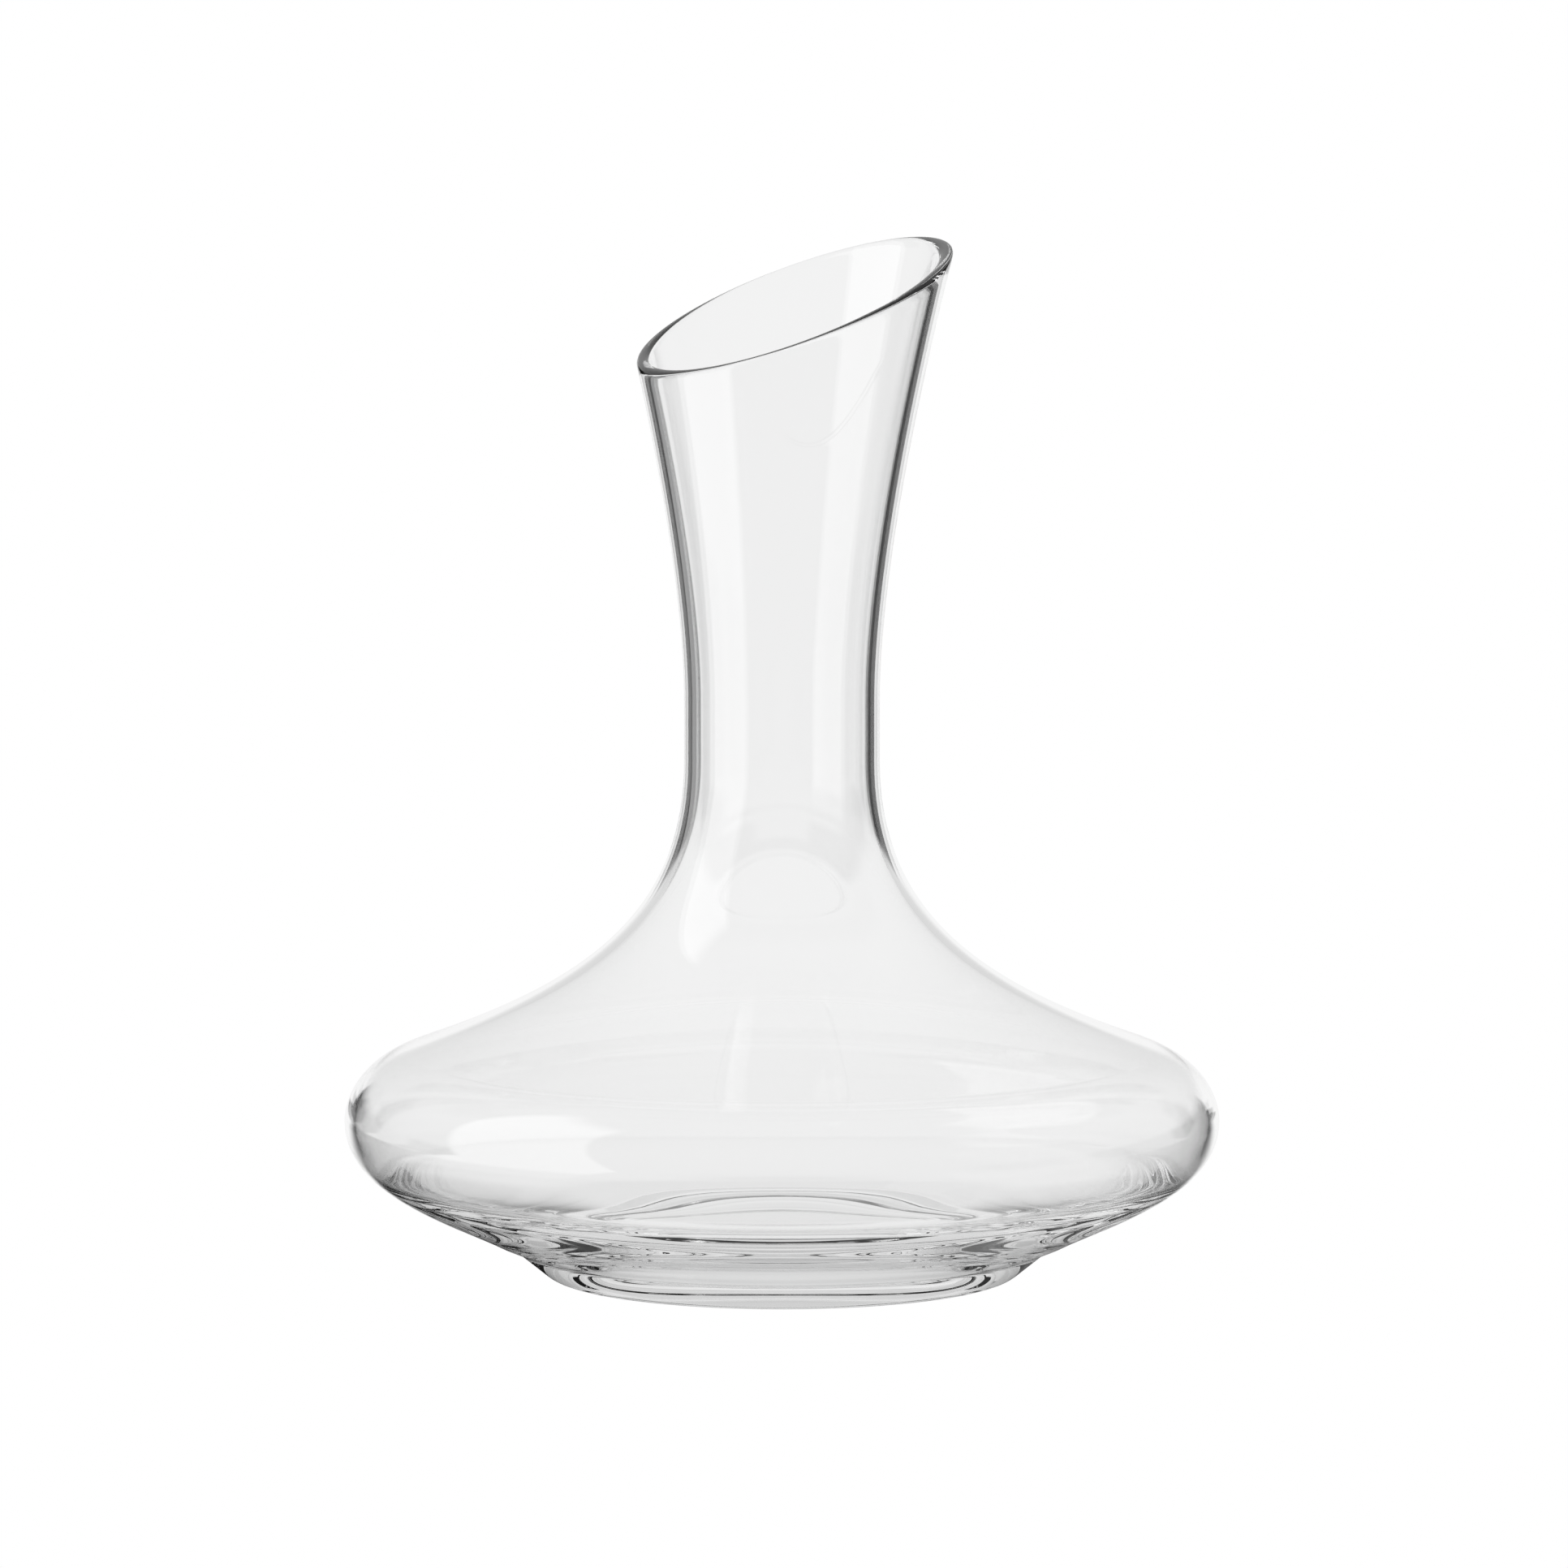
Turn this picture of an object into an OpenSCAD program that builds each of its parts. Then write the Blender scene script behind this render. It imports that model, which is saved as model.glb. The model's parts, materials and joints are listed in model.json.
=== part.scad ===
// Wine decanter in clear glass: a wide, low bowl on a heavy base, a slim neck
// that flares again, and a mouth cut on a slant. It is one single piece of glass.
// Millimetres, +Z up. The origin is the centre of the ring the decanter rests
// on, and +X points to the high side of the mouth.

/* [Bowl] */
// Widest outside diameter
bowl_d = 210; // [196:1:224]
// Height of the widest level above the table
belly_h = 37.7; // [34:0.1:41]
// Height where the domed shoulder turns hollow and sweeps up to the neck
shoulder_h = 54.4; // [50:0.2:58]
// Slope of the shoulder at that height, in degrees from level
shoulder_slope = 19.5; // [15:0.5:25]

/* [Base] */
// Outside diameter of the ring it rests on
foot_d = 112; // [104:1:120]
// Height of the foot's sloping side
foot_h = 6.1; // [5:0.1:7]
// Slope of the foot's side, in degrees from level
foot_slope = 39; // [34:1:45]
// Width of the flat resting ring
ring_w = 7.5; // [5:0.5:10]
// Height of the hollow under the base
punt_h = 3.4; // [1:0.2:5]

/* [Neck] */
// Outside diameter at the throat, the narrowest place
throat_d = 46.8; // [44:0.2:50]
// Height of the throat's middle above the table
throat_h = 131; // [124:1:138]
// Length of the straight, cylindrical stretch at the throat
throat_land = 14; // [10:1:18]

/* [Mouth] */
// Height of the mouth's high side above the table
lip_h = 249; // [239:1:259]
// Distance from the axis to the high side, on the outside of the glass
lip_reach = 41.8; // [38:0.2:46]
// Flare of the neck at the mouth, in degrees from vertical
flare = 14; // [9:1:18]
// Slant of the mouth, in degrees from level
mouth_slant = 22.8; // [12:0.2:28]

/* [Glass] */
// Wall thickness at the mouth
mouth_wall = 3.1; // [2.4:0.1:3.6]
// Wall thickness at the throat
throat_wall = 2.9; // [2.2:0.1:3.6]
// Wall thickness at the shoulder
shoulder_wall = 2.4; // [1.8:0.1:3]
// Wall thickness at the widest level
belly_wall = 2.6; // [2:0.1:3.4]
// Height of the inside floor's centre above the table
floor_h = 11.7; // [9:0.1:13]

/* [Smoothness] */
// Straight steps in each curve of the outline
steps = 12; // [8:1:20]

/* [Hidden] */
$fn = 96;

bowl_r = bowl_d / 2;
foot_r = foot_d / 2;
throat_r = throat_d / 2;

// The foot's side ends where it meets the bowl.
foot_top = [foot_r + foot_h / tan(foot_slope), foot_h];

// Just above the foot the bowl's underside sets off at a shallower slope.
keel_slope = 27;
keel_out = 0.18;
keel_up = 0.115;
keel = [
    foot_top[0] + keel_out * (bowl_r - foot_top[0]),
    foot_top[1] + keel_up * (belly_h - foot_h)
];

// The shoulder turns hollow at this share of the bowl's radius.
shoulder_out = 0.867;
shoulder = [shoulder_out * bowl_r, shoulder_h];
shoulder_dir = 180 - shoulder_slope;

belly = [bowl_r, belly_h];
throat_low = [throat_r, throat_h - throat_land / 2];
throat_high = [throat_r, throat_h + throat_land / 2];
lip = [lip_reach, lip_h];
lip_dir = 90 - flare;

// The neck is drawn this far past the lip, and the slanted cut takes it off.
overrun = 3;

// The inside is widest a touch lower than the outside.
belly_drop = 0.15;

// The inside floor is a shallow dish. At its edge it turns up into the wall.
floor_edge = [0.882 * bowl_r, 0.637 * belly_h];
floor_edge_slope = 10;

// The hollow under the base leaves the resting ring at this slope.
punt_slope = 35;

// A unit step in direction a, in degrees from level.
function toward(a) = [cos(a), sin(a)];

// A cubic curve from p to q, without p itself. It leaves p in direction pa and
// arrives at q in direction qa. pk and qk set how long it holds each direction,
// as a share of the straight distance from p to q.
function curve(p, pa, pk, q, qa, qk) =
    let (span = norm(q - p))
    let (c = p + pk * span * toward(pa))
    let (d = q - qk * span * toward(qa))
    [for (i = [1:steps])
        let (t = i / steps)
        pow(1 - t, 3) * p
            + 3 * pow(1 - t, 2) * t * c
            + 3 * (1 - t) * t * t * d
            + pow(t, 3) * q];

// A point moved through the wall to the inside of the glass, for an outline
// that runs upwards past it in direction a.
function through_wall(p, a, wall) = p + wall * toward(a + 90);

// From the centre of the underside, across the base and up the outside.
function outside() = concat(
    [[0, punt_h]],
    curve([0, punt_h], 0, 0.55, [foot_r - ring_w, 0], -punt_slope, 0.25),
    [[foot_r, 0], foot_top],
    curve(foot_top, foot_slope, 0.3, keel, keel_slope, 0.3),
    curve(keel, keel_slope, 0.34, belly, 90, 0.35),
    curve(belly, 90, 0.25, shoulder, shoulder_dir, 0.49),
    curve(shoulder, shoulder_dir, 0.46, throat_low, 90, 0.39),
    [throat_high],
    curve(throat_high, 90, 0.32, lip, lip_dir, 0.2),
    [lip + overrun * toward(lip_dir)]
);

// From the centre of the inside floor up to the mouth.
function inside() =
    let (floor_mid = [0, floor_h])
    let (in_belly = belly - [belly_wall, belly_drop])
    let (in_shoulder = through_wall(shoulder, shoulder_dir, shoulder_wall))
    let (in_low = throat_low - [throat_wall, 0])
    let (in_high = throat_high - [throat_wall, 0])
    let (in_lip = through_wall(lip, lip_dir, mouth_wall))
    concat(
        [floor_mid],
        curve(floor_mid, 0, 0.75, floor_edge, floor_edge_slope, 0.25),
        curve(floor_edge, floor_edge_slope, 0.34, in_belly, 90, 0.36),
        curve(in_belly, 90, 0.25, in_shoulder, shoulder_dir, 0.49),
        curve(in_shoulder, shoulder_dir, 0.46, in_low, 90, 0.39),
        [in_high],
        curve(in_high, 90, 0.32, in_lip, lip_dir, 0.2),
        [in_lip + overrun * toward(lip_dir)]
    );

// The points of a list in the opposite order.
function reversed(list) = [for (i = [len(list) - 1 : -1 : 0]) list[i]];

// Everything above the slanted plane of the mouth.
module above_mouth() {
    size = 4 * lip_reach;
    translate([lip_reach, 0, lip_h])
        rotate([0, -mouth_slant, 0])
            translate([-size, -size / 2, 0])
                cube([1.5 * size, size, size]);
}

module glass_vessel() {
    color([0.90, 0.92, 0.92, 0.35])
        difference() {
            rotate_extrude()
                polygon(concat(outside(), reversed(inside())));
            above_mouth();
        }
}

glass_vessel();
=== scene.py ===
"""The looks of the wine decanter: one fine glass mesh in place of the CAD node, in a bright studio."""

import json
import math

import bpy
from mathutils import Matrix, Vector


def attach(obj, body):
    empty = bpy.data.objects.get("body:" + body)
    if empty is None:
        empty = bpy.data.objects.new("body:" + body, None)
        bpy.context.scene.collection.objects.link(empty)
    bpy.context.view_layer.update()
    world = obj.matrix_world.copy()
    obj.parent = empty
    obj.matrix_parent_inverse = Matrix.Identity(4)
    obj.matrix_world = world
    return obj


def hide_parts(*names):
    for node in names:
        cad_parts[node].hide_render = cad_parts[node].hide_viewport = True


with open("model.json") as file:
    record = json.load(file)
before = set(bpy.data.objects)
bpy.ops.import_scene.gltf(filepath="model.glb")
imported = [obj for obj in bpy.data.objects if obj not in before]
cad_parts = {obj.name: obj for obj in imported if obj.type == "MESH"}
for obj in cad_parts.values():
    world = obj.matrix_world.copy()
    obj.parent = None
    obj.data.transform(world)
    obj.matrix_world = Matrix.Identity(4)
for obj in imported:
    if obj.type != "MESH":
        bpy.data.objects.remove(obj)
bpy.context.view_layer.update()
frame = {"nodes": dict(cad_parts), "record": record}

MM = 0.001
NODE = "glass_vessel"


# ---------------------------------------------------------------- sizes, from the frame

def mount(name):
    """The record's mount of that name."""
    return next(m for m in frame["record"]["mounts"] if m["name"] == name)


cad_vertices = [v.co for v in frame["nodes"][NODE].data.vertices]
THROAT = mount("neck_throat")
RING = mount("resting_ring")

BOWL_R = max(math.hypot(co.x, co.y) for co in cad_vertices)
LIP_H = max(co.z for co in cad_vertices)
LIP_REACH = max(co.x for co in cad_vertices if co.z > LIP_H - 1 * MM)
FOOT_R = max(math.hypot(co.x, co.y) for co in cad_vertices if co.z < 0.1 * MM)
THROAT_IN_R = THROAT["dims"]["r_mm"] * MM
THROAT_LAND = THROAT["dims"]["length_mm"] * MM
THROAT_H = THROAT["pos_m"][2]
RING_MID_R = math.hypot(*RING["pos_m"][:2])

# The outline between those places, as in the CAD: lengths in metres, slopes in degrees from level.
BELLY_H = 37.7 * MM
SHOULDER_OUT, SHOULDER_H, SHOULDER_SLOPE = 0.867, 54.4 * MM, 19.5
FOOT_H, FOOT_SLOPE = 6.1 * MM, 39
KEEL_OUT, KEEL_UP, KEEL_SLOPE = 0.18, 0.115, 27
PUNT_H, PUNT_SLOPE = 3.4 * MM, 35
FLARE, MOUTH_SLANT = 14, 22.8
MOUTH_WALL, THROAT_WALL, SHOULDER_WALL, BELLY_WALL = 3.1 * MM, 2.9 * MM, 2.4 * MM, 2.6 * MM
BELLY_DROP = 0.15 * MM
FLOOR_H = 11.7 * MM
FLOOR_EDGE_OUT, FLOOR_EDGE_UP, FLOOR_EDGE_SLOPE = 0.882, 0.637, 10
EDGE_SOFTNESS = 2.0 * MM      # how far the melted rounding of the resting ring's edges reaches
LIP_DEPTH = 1.5 * MM          # how far the fire-polished rounding of the mouth reaches down the wall
LIP_SQUARENESS = 2.7          # 2 is a half ellipse, more is flatter on top

AROUND = 256                  # mesh columns round the axis


# ---------------------------------------------------------------- outline

def toward(angle):
    """A unit step in the outline's plane, angle in degrees from level."""
    a = math.radians(angle)
    return Vector((math.cos(a), math.sin(a)))


class Curve:
    """A cubic curve from p, leaving in direction pa, to q, arriving in direction qa."""

    def __init__(self, p, pa, pk, q, qa, qk):
        span = (q - p).length
        self.points = (p, p + pk * span * toward(pa), q - qk * span * toward(qa), q)

    def at(self, t):
        a, b, c, d = self.points
        s = 1 - t
        return s ** 3 * a + 3 * s * s * t * b + 3 * s * t * t * c + t ** 3 * d

    def along(self, t):
        """The unit direction of travel at t."""
        a, b, c, d = self.points
        s = 1 - t
        return (s * s * (b - a) + 2 * s * t * (c - b) + t * t * (d - c)).normalized()

    def steps(self, n, start=0.0, end=1.0):
        """n points from start to end, without the first."""
        return [self.at(start + (end - start) * i / n) for i in range(1, n + 1)]


def corner(at, arrive, leave, n=5):
    """A corner rounded by EDGE_SOFTNESS, its first point included."""
    start = at - EDGE_SOFTNESS * toward(arrive)
    end = at + EDGE_SOFTNESS * toward(leave)
    return [start] + Curve(start, arrive, 0.4, end, leave, 0.4).steps(n)


def through_wall(p, angle, wall):
    """p moved through the wall to the inside, for an outline that runs upwards past it."""
    return p + wall * toward(angle + 90)


throat_r = THROAT_IN_R + THROAT_WALL
foot_edge = Vector((FOOT_R, 0))
foot_top = Vector((FOOT_R + FOOT_H / math.tan(math.radians(FOOT_SLOPE)), FOOT_H))
keel = foot_top + Vector((KEEL_OUT * (BOWL_R - foot_top.x), KEEL_UP * (BELLY_H - FOOT_H)))
belly = Vector((BOWL_R, BELLY_H))
shoulder = Vector((SHOULDER_OUT * BOWL_R, SHOULDER_H))
shoulder_dir = 180 - SHOULDER_SLOPE
throat_low = Vector((throat_r, THROAT_H - THROAT_LAND / 2))
throat_high = Vector((throat_r, THROAT_H + THROAT_LAND / 2))
lip = Vector((LIP_REACH, LIP_H))
lip_dir = 90 - FLARE
ring_inner = Vector((2 * RING_MID_R - FOOT_R, 0))
punt_top = Vector((0, PUNT_H))

floor_mid = Vector((0, FLOOR_H))
floor_edge = Vector((FLOOR_EDGE_OUT * BOWL_R, FLOOR_EDGE_UP * BELLY_H))
in_belly = belly - Vector((BELLY_WALL, BELLY_DROP))
in_shoulder = through_wall(shoulder, shoulder_dir, SHOULDER_WALL)
in_low = throat_low - Vector((THROAT_WALL, 0))
in_high = throat_high - Vector((THROAT_WALL, 0))
in_lip = through_wall(lip, lip_dir, MOUTH_WALL)

outer_neck = Curve(throat_high, 90, 0.32, lip, lip_dir, 0.2)
inner_neck = Curve(in_high, 90, 0.32, in_lip, lip_dir, 0.2)


def outside():
    """From the centre of the underside up the outside to the throat."""
    ring_start = ring_inner - EDGE_SOFTNESS * toward(-PUNT_SLOPE)
    punt = Curve(punt_top, 0, 0.55, ring_start, -PUNT_SLOPE, 0.25)
    return (
        [punt_top]
        + punt.steps(18)[:-1]
        + corner(ring_inner, -PUNT_SLOPE, 0)
        + corner(foot_edge, 0, FOOT_SLOPE)
        + Curve(foot_top, FOOT_SLOPE, 0.3, keel, KEEL_SLOPE, 0.3).steps(12, start=-0.08)
        + Curve(keel, KEEL_SLOPE, 0.34, belly, 90, 0.35).steps(30)
        + Curve(belly, 90, 0.25, shoulder, shoulder_dir, 0.49).steps(28)
        + Curve(shoulder, shoulder_dir, 0.46, throat_low, 90, 0.39).steps(36)
        + [throat_low.lerp(throat_high, i / 4) for i in range(1, 5)]
    )


def inside():
    """From the throat down the inside to the centre of the floor."""
    up = (
        [floor_mid]
        + Curve(floor_mid, 0, 0.75, floor_edge, FLOOR_EDGE_SLOPE, 0.25).steps(28)
        + Curve(floor_edge, FLOOR_EDGE_SLOPE, 0.34, in_belly, 90, 0.36).steps(24)
        + Curve(in_belly, 90, 0.25, in_shoulder, shoulder_dir, 0.49).steps(28)
        + Curve(in_shoulder, shoulder_dir, 0.46, in_low, 90, 0.39).steps(36)
        + [in_low.lerp(in_high, i / 4) for i in range(1, 5)]
    )
    return up[::-1]


def below_cut(p, azimuth):
    """How far p, at that azimuth, is below the slanted plane of the mouth."""
    return LIP_H + math.tan(math.radians(MOUTH_SLANT)) * (p.x * math.cos(azimuth) - LIP_REACH) - p.y


def meets_cut(curve, azimuth, depth):
    """Where curve, at that azimuth, is depth below the slanted plane of the mouth."""
    low, high = 0.0, 1.0
    for _ in range(40):
        t = (low + high) / 2
        if below_cut(curve.at(t), azimuth) > depth:
            low = t
        else:
            high = t
    return low


def mouth(azimuth, neck_steps=40, lip_steps=14):
    """At that azimuth: up the outside of the neck, over the polished lip and down the inside."""
    t_out = meets_cut(outer_neck, azimuth, LIP_DEPTH)
    t_in = meets_cut(inner_neck, azimuth, LIP_DEPTH)
    a, b = outer_neck.at(t_out), inner_neck.at(t_in)
    middle, half = (a + b) / 2, (a - b) / 2
    up_wall = (outer_neck.along(t_out) + inner_neck.along(t_in)).normalized()
    gain = below_cut(middle, azimuth) - below_cut(middle + up_wall, azimuth)
    rise = up_wall * below_cut(middle, azimuth) / gain
    rounded = []
    for i in range(1, lip_steps):
        angle = math.pi * i / lip_steps
        c, s = math.cos(angle), math.sin(angle)
        across = math.copysign(abs(c) ** (2 / LIP_SQUARENESS), c)
        rounded.append(middle + across * half + s ** (2 / LIP_SQUARENESS) * rise)
    up = outer_neck.steps(neck_steps, 0, t_out)
    down = inner_neck.steps(neck_steps, 0, t_in)[::-1]
    return up + rounded + down


def turned_mesh(name):
    """The closed glass wall: the outline turned round the axis, its neck ending in the slanted mouth."""
    below, above = outside(), inside()
    vertices, rows = [], []
    for j in range(AROUND):
        azimuth = 2 * math.pi * j / AROUND
        outline = below[1:] + mouth(azimuth) + above[:-1]
        rows.append(range(len(vertices), len(vertices) + len(outline)))
        vertices += [(p.x * math.cos(azimuth), p.x * math.sin(azimuth), p.y) for p in outline]
    under, floor = len(vertices), len(vertices) + 1
    vertices += [(0, 0, below[0].y), (0, 0, above[-1].y)]
    faces = []
    for j in range(AROUND):
        here, there = rows[j], rows[(j + 1) % AROUND]
        faces.append((under, there[0], here[0]))
        faces += [(here[i], there[i], there[i + 1], here[i + 1]) for i in range(len(here) - 1)]
        faces.append((floor, here[-1], there[-1]))
    mesh = bpy.data.meshes.new(name)
    mesh.from_pydata(vertices, [], faces)
    mesh.validate()
    for polygon in mesh.polygons:
        polygon.use_smooth = True
    return mesh


# ---------------------------------------------------------------- materials

class Nodes:
    """A short way to write node trees."""

    def __init__(self, tree):
        self.tree = tree
        tree.nodes.clear()

    def new(self, kind, inputs=(), **settings):
        node = self.tree.nodes.new(kind)
        for key, value in settings.items():
            setattr(node, key, value)
        for key, value in dict(inputs).items():
            self.feed(node.inputs[key], value)
        return node

    def feed(self, socket, value):
        if isinstance(value, bpy.types.NodeSocket):
            self.tree.links.new(value, socket)
        else:
            socket.default_value = value

    def math(self, operation, *values):
        return self.new("ShaderNodeMath", dict(enumerate(values)), operation=operation).outputs[0]

    def vector(self, operation, *values):
        return self.new("ShaderNodeVectorMath", dict(enumerate(values)), operation=operation)

    def ramp(self, value, low, high, at_low=0.0, at_high=1.0):
        """at_low up to low, at_high from high on, smooth between."""
        node = self.new("ShaderNodeMapRange", {
            "Value": value, "From Min": low, "From Max": high, "To Min": at_low, "To Max": at_high,
        }, interpolation_type="SMOOTHSTEP")
        return node.outputs[0]

    def blend(self, first, second, share):
        """first where share is 0, second where it is 1."""
        node = self.new("ShaderNodeMix", {"Factor": share, "A": first, "B": second}, data_type="FLOAT")
        return node.outputs[0]


def glass():
    """Clear soda-lime glass, fire-polished: faint waviness and the thinnest haze, both uneven."""
    material = bpy.data.materials.new("clear_glass")
    material.use_nodes = True
    n = Nodes(material.node_tree)
    place = n.new("ShaderNodeTexCoord").outputs["Object"]
    waves = n.new("ShaderNodeTexNoise", {"Vector": place, "Scale": 22.0, "Detail": 1.0, "Roughness": 0.4})
    smears = n.new("ShaderNodeTexNoise", {"Vector": place, "Scale": 9.0, "Detail": 3.0})
    haze = n.ramp(smears.outputs["Fac"], 0.35, 0.75, 0.0, 0.008)
    bump = n.new("ShaderNodeBump", {"Strength": 0.05, "Distance": 0.0003, "Height": waves.outputs["Fac"]})
    tint = n.new("ShaderNodeMix", data_type="RGBA")
    n.feed(tint.inputs["Factor"], smears.outputs["Fac"])
    n.feed(tint.inputs["A"], (0.988, 0.989, 0.989, 1))
    n.feed(tint.inputs["B"], (0.998, 0.998, 0.998, 1))
    shader = n.new("ShaderNodeBsdfPrincipled", {
        "Base Color": tint.outputs["Result"],
        "Roughness": haze,
        "IOR": 1.52,
        "Transmission Weight": 1.0,
        "Normal": bump.outputs["Normal"],
    })
    n.new("ShaderNodeOutputMaterial", {"Surface": shader.outputs[0]})
    return material


# ---------------------------------------------------------------- studio

CAMERA_TURN = -34.4           # degrees round the axis; 0 looks along +Y
CAMERA_RAISE = 5.2            # degrees above level
CAMERA_DISTANCE = 1.749
CAMERA_AIM_H = 118.2 * MM
IMAGE_SIDE = 1932
FOCAL_SHARE = 9000 / IMAGE_SIDE   # focal length as a share of the sensor's width
AXIS_LEFT = 2.5 / IMAGE_SIDE      # how far the axis stands left of the frame's middle

# What stands round the glass, low down: from and to in degrees right of straight ahead,
# brightness, and the width of the soft edge. A later entry covers an earlier one.
ROOM_LIGHT = 0.6
SURROUNDINGS = {
    "pale wall left": (-66, -48, 0.7, 4),
    "dark corner left": (-96, -66, 0.22, 6),
    "grey wall right": (56, 70, 0.45, 4),
    "dark corner right": (70, 92, 0.28, 6),
    "doorway right": (100, 128, 0.4, 14),
    "grey stand left": (-48, -36, 0.3, 3),
    "white backdrop": (-21, 27, 0.925, 2),
    "black flag left": (-36, -21, 0.03, 2),
    "black flag right": (27, 56, 0.06, 2),
}
WALL_TOP = (5, 9)             # degrees above level where the low things end
SKY_SPAN = (-75, 75)          # the bright half of the ceiling, ahead
SKY_EDGE = 20
SKY_LIGHT = 0.7
CEILING_START = (55, 75)      # degrees above level
CEILING_LIGHT = 0.6
SOFTBOX_SPAN = (-137, -86)    # at level; it leans forward as it rises
SOFTBOX_LEAN = 0.45           # degrees of turn per degree of rise
SOFTBOX_RISE = (-10, 62)
SOFTBOX_EDGE, SOFTBOX_TOP_EDGE = 4, 14    # width of its soft edges
SOFTBOX_LIGHT = 1.5

TABLE_SIDE = 6.0              # metres from the axis to each side of the table
TABLE_GAP = 0.05 * MM         # between the table and the glass
TABLE_END = (0.5, 0.7)        # metres from the axis where the table gives way to what stands round it
TABLE_HALF = 0.1              # half the width of the strip of painted light beside the glass, where the backdrop's light falls on the table
TABLE_SPREAD = 0.48           # how much that grows per metre ahead
TABLE_EDGE = 0.03             # half the width of the strip's soft edge
TABLE_LIGHT = 0.93
TABLE_SIDE_LIGHT = 0.05       # just beyond the strip, where painted shade lies
TABLE_FAR_SIDE = (0.22, 0.4)  # metres beyond the strip where it grows lighter again
TABLE_FAR_LIGHT = 0.5
FRONT_START = (80, 105)       # degrees from straight ahead, where the table in front of the glass begins
FRONT_LIGHT = 0.62
UNDER_LIGHT = 0.9             # the table under the foot
RIM_OF_FOOT = (0.053, 0.056)  # metres from the axis, where that ends and the shades begin
SHADE_LIGHT = 0.03            # in the deepest shade
STEEP_VIEW = (0.14, 0.5)      # the shades are for a low camera, and fade as its downward slope (sine) grows
STEEP_SHADE = 0.25            # what is left of them for a steep one
FRONT_SHADE_END = (0.075, 0.09)
FRONT_SHADE = 0.88
SIDE_SHADE_SPAN = (60, 140)   # degrees to the left and right of straight ahead
SIDE_SHADE_EDGE = 20
SIDE_SHADE_END = (0.135, 0.165)
SIDE_SHADE_RIGHT = 0.8        # the right one is weaker
BACK_SHADE_END = (0.065, 0.085)
BACK_SHADE = 0.08
POOL_START = (0.15, 0.22)     # the softbox's pool of light on the table
POOL_LIGHT = 0.85
POOL_FAR = (0.25, 0.4)        # metres from the axis where it grows as bright as the softbox


def camera():
    """The camera at the height, distance and turn named above, looking at the glass."""
    data = bpy.data.cameras.new("camera")
    data.sensor_width = 36
    data.lens = FOCAL_SHARE * data.sensor_width
    data.shift_x = AXIS_LEFT
    data.clip_start, data.clip_end = 0.05, 50
    holder = bpy.data.objects.new("camera", data)
    bpy.context.scene.collection.objects.link(holder)
    a, e = math.radians(CAMERA_TURN), math.radians(CAMERA_RAISE)
    back = Vector((math.sin(a) * math.cos(e), -math.cos(a) * math.cos(e), math.sin(e)))
    holder.location = Vector((0, 0, CAMERA_AIM_H)) + back * CAMERA_DISTANCE
    look = (-back).to_track_quat("-Z", "Y").to_matrix().to_4x4()
    holder.matrix_world = Matrix.Translation(holder.location) @ look
    bpy.context.scene.camera = holder


def camera_ahead(n):
    """The world direction in which the camera looks."""
    return n.new(
        "ShaderNodeVectorTransform", {"Vector": (0, 0, 1)},
        vector_type="VECTOR", convert_from="CAMERA", convert_to="WORLD",
    ).outputs[0]


def seen_from_camera(n, vector):
    """A world vector's level parts, to the right of and ahead of the camera, and its turn in degrees."""
    level = n.vector("MULTIPLY", camera_ahead(n), (1, 1, 0)).outputs[0]
    forward = n.vector("NORMALIZE", level).outputs[0]
    right = n.vector("CROSS_PRODUCT", forward, (0, 0, 1)).outputs[0]
    y = n.vector("DOT_PRODUCT", vector, forward).outputs["Value"]
    x = n.vector("DOT_PRODUCT", vector, right).outputs["Value"]
    return x, y, n.math("MULTIPLY", n.math("ARCTAN2", x, y), 180 / math.pi)


def smooth_between(n, value, low, high, edge):
    """1 where value lies between low and high, falling to 0 over edge on both sides."""
    rise = n.ramp(value, low - edge / 2, low + edge / 2)
    fall = n.ramp(value, high - edge / 2, high + edge / 2, 1.0, 0.0)
    return n.math("MULTIPLY", rise, fall)


def unless_camera(n, light):
    """The brightness light, but plain white for what the camera sees directly."""
    return n.math("MAXIMUM", light, n.new("ShaderNodeLightPath").outputs["Is Camera Ray"])


def surroundings(n, turn):
    """Brightness of what stands round the glass in the direction turn."""
    light = ROOM_LIGHT
    for start, end, level, edge in SURROUNDINGS.values():
        light = n.blend(light, level, smooth_between(n, turn, start, end, edge))
    return light


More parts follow.
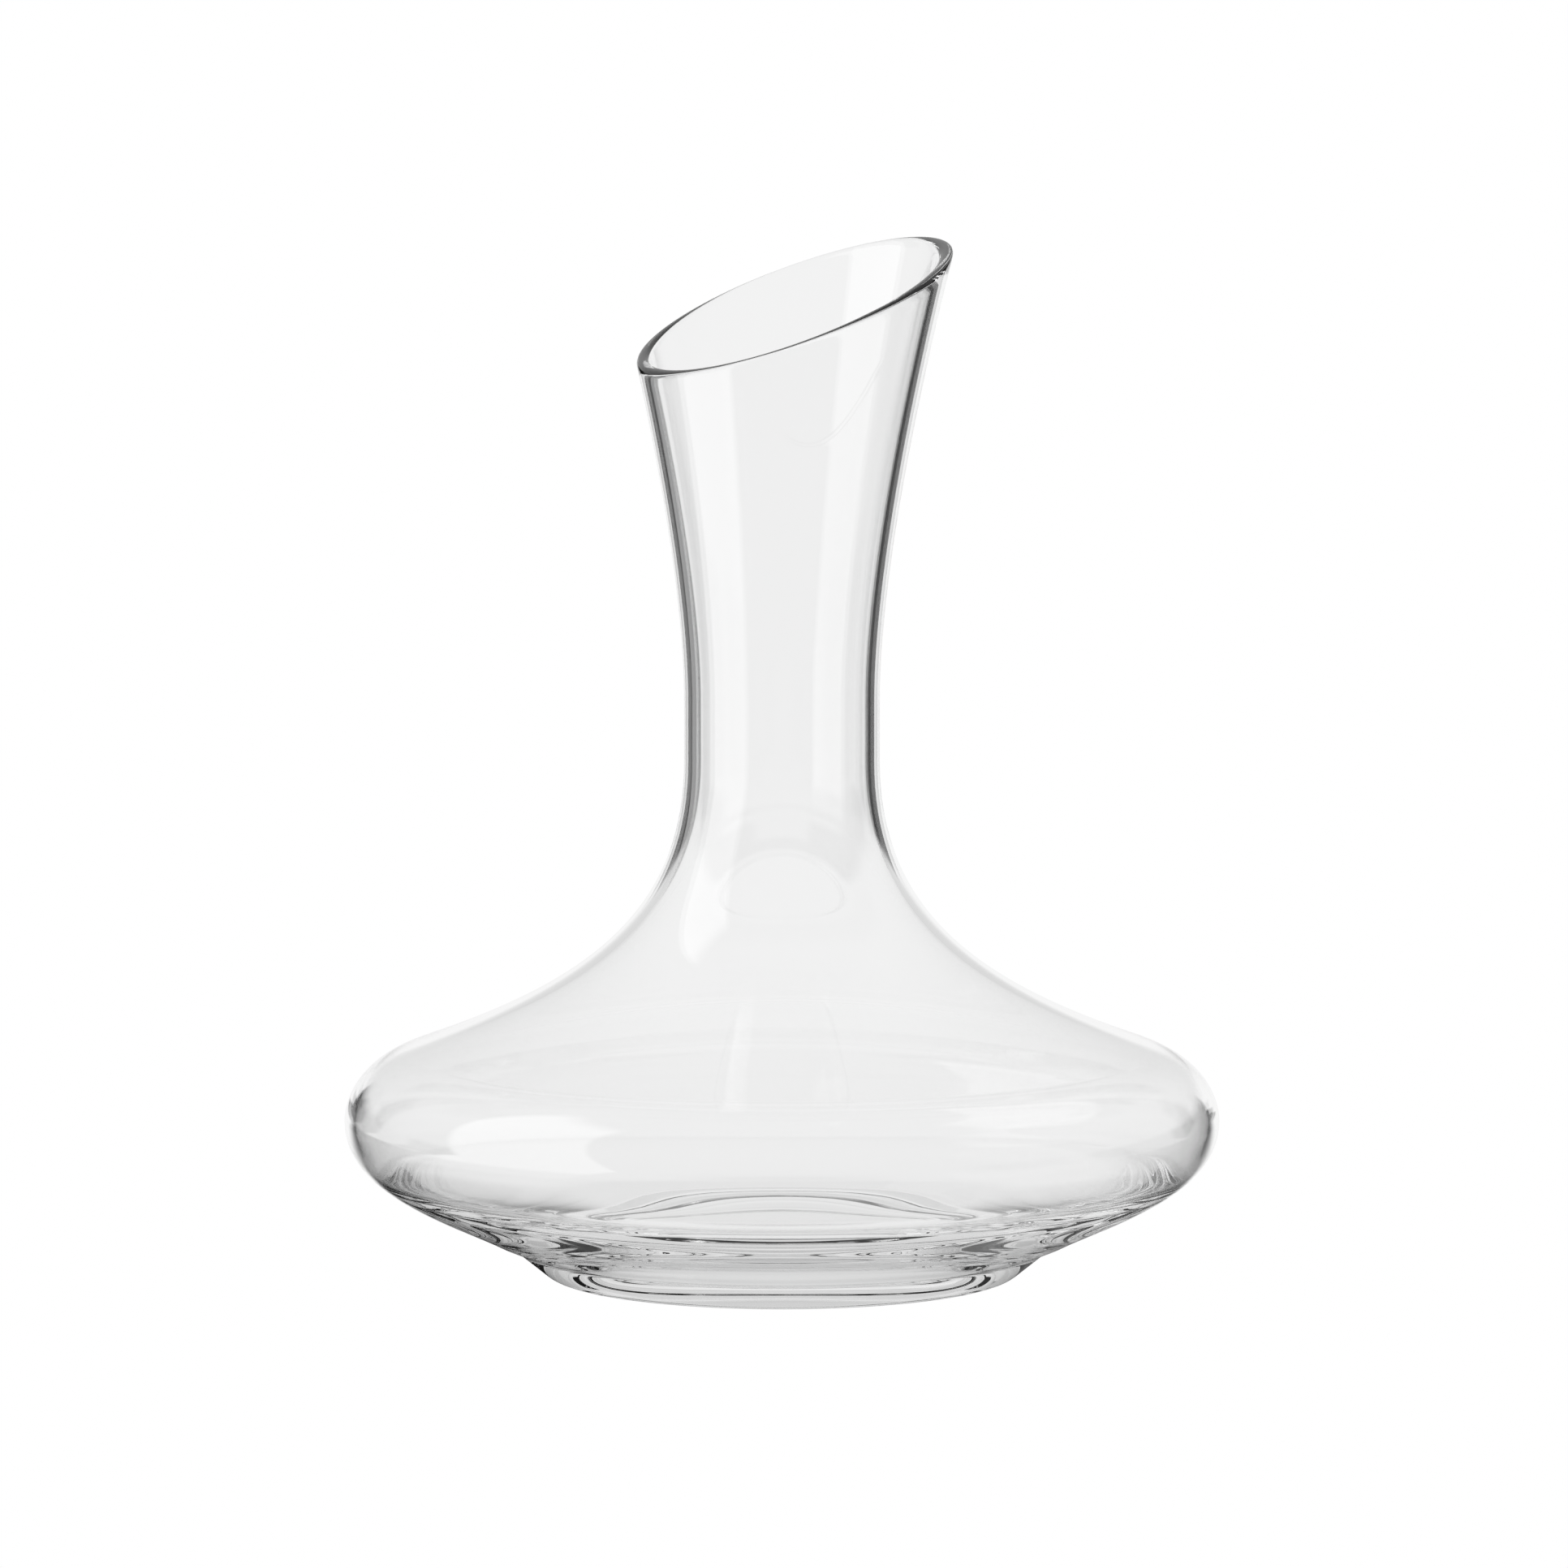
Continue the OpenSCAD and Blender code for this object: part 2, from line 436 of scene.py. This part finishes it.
def studio_world():
    """The surroundings, the ceiling over them, and a tall softbox to the left of the camera."""
    world = bpy.data.worlds.new("studio")
    bpy.context.scene.world = world
    world.use_nodes = True
    n = Nodes(world.node_tree)
    direction = n.new("ShaderNodeTexCoord").outputs["Generated"]
    turn = seen_from_camera(n, direction)[2]
    up = n.new("ShaderNodeSeparateXYZ", {0: direction}).outputs["Z"]
    raised = n.math("MULTIPLY", n.math("ARCSINE", up), 180 / math.pi)
    high = n.blend(ROOM_LIGHT, SKY_LIGHT, smooth_between(n, turn, *SKY_SPAN, SKY_EDGE))
    high = n.blend(high, CEILING_LIGHT, n.ramp(raised, *CEILING_START))
    light = n.blend(surroundings(n, turn), high, n.ramp(raised, *WALL_TOP))
    leaning = n.math("SUBTRACT", turn, n.math("MULTIPLY", raised, SOFTBOX_LEAN))
    softbox = n.math(
        "MULTIPLY",
        smooth_between(n, leaning, *SOFTBOX_SPAN, SOFTBOX_EDGE),
        smooth_between(n, raised, *SOFTBOX_RISE, SOFTBOX_TOP_EDGE),
    )
    light = n.math("MAXIMUM", light, n.math("MULTIPLY", softbox, SOFTBOX_LIGHT))
    shader = n.new("ShaderNodeBackground", {"Color": (1, 1, 1, 1), "Strength": unless_camera(n, light)})
    n.new("ShaderNodeOutputWorld", {"Surface": shader.outputs[0]})


def table_shades(n, reach, turn, front):
    """How deep the shade close round the foot is: in front of the glass and on both sides of it."""
    low, high = SIDE_SHADE_SPAN
    ahead = n.ramp(reach, *FRONT_SHADE_END, 1.0, 0.0)
    ahead = n.math("MULTIPLY", ahead, n.math("MULTIPLY", front, FRONT_SHADE))
    beside = n.ramp(reach, *SIDE_SHADE_END, 1.0, 0.0)
    left = n.math("MULTIPLY", smooth_between(n, turn, -high, -low, SIDE_SHADE_EDGE), beside)
    right = n.math("MULTIPLY", smooth_between(n, turn, low, high, SIDE_SHADE_EDGE), beside)
    right = n.math("MULTIPLY", right, SIDE_SHADE_RIGHT)
    rise = n.new("ShaderNodeSeparateXYZ", {0: camera_ahead(n)}).outputs["Z"]
    low_view = n.ramp(n.math("MULTIPLY", rise, -1.0), *STEEP_VIEW, 1.0, STEEP_SHADE)
    return n.math("MULTIPLY", n.math("MAXIMUM", ahead, n.math("MAXIMUM", left, right)), low_view)


def table_light(n):
    """Brightness of the table as the glass sees it."""
    place = n.new("ShaderNodeNewGeometry").outputs["Position"]
    reach = n.vector("LENGTH", place).outputs["Value"]
    x, y, turn = seen_from_camera(n, place)
    # The table's painted light: a lit strip beside the glass from the backdrop, painted shade beyond it
    strip = n.math("ADD", n.math("MULTIPLY", n.math("MAXIMUM", y, 0.0), TABLE_SPREAD), TABLE_HALF)
    over = n.math("SUBTRACT", n.math("ABSOLUTE", x), strip)
    side_light = n.ramp(over, *TABLE_FAR_SIDE, TABLE_SIDE_LIGHT, TABLE_FAR_LIGHT)
    light = n.blend(TABLE_LIGHT, side_light, n.ramp(over, -TABLE_EDGE, TABLE_EDGE))
    front = n.ramp(n.math("ABSOLUTE", turn), *FRONT_START)
    light = n.blend(light, FRONT_LIGHT, front)
    outside_foot = n.ramp(reach, *RIM_OF_FOOT)
    shade = n.math("MULTIPLY", table_shades(n, reach, turn, front), outside_foot)
    light = n.blend(light, SHADE_LIGHT, shade)
    behind = n.math("SUBTRACT", 1.0, front)
    behind = n.math("MULTIPLY", behind, n.ramp(reach, *BACK_SHADE_END, BACK_SHADE, 0.0))
    light = n.math("SUBTRACT", light, n.math("MULTIPLY", behind, outside_foot))
    light = n.blend(UNDER_LIGHT, light, outside_foot)
    light = n.blend(light, surroundings(n, turn), n.ramp(reach, *TABLE_END))
    pool = smooth_between(n, turn, *SOFTBOX_SPAN, SOFTBOX_EDGE)
    pool = n.math("MULTIPLY", pool, n.ramp(reach, *POOL_START))
    pool = n.math("MULTIPLY", pool, n.ramp(reach, *POOL_FAR, POOL_LIGHT, SOFTBOX_LIGHT))
    return n.math("MAXIMUM", light, pool)


def table():
    """A table top that shines plain white to the camera and has its shades only for the glass."""
    corners = [(x * TABLE_SIDE, y * TABLE_SIDE, -TABLE_GAP) for x, y in ((-1, -1), (1, -1), (1, 1), (-1, 1))]
    mesh = bpy.data.meshes.new("table")
    mesh.from_pydata(corners, [], [(0, 1, 2, 3)])
    material = bpy.data.materials.new("pale_table")
    material.use_nodes = True
    mesh.materials.append(material)
    n = Nodes(material.node_tree)
    shader = n.new("ShaderNodeEmission", {
        "Color": (1, 1, 1, 1),
        "Strength": unless_camera(n, table_light(n)),
    })
    n.new("ShaderNodeOutputMaterial", {"Surface": shader.outputs[0]})
    top = bpy.data.objects.new("table", mesh)
    bpy.context.scene.collection.objects.link(top)


def film():
    """Plain colours, and enough bounces for light to find its way through the thick base."""
    scene = bpy.context.scene
    scene.view_settings.view_transform = "Standard"
    scene.view_settings.look = "None"
    scene.cycles.max_bounces = 32
    scene.cycles.transmission_bounces = 32
    scene.cycles.glossy_bounces = 24
    scene.cycles.transparent_max_bounces = 16
    scene.cycles.use_denoising = True


# ---------------------------------------------------------------- scene

vessel_mesh = turned_mesh("decanter_glass")
vessel_mesh.materials.append(glass())
vessel = bpy.data.objects.new("decanter_glass", vessel_mesh)
bpy.context.scene.collection.objects.link(vessel)
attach(vessel, "root")
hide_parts(NODE)

camera()
studio_world()
table()
film()
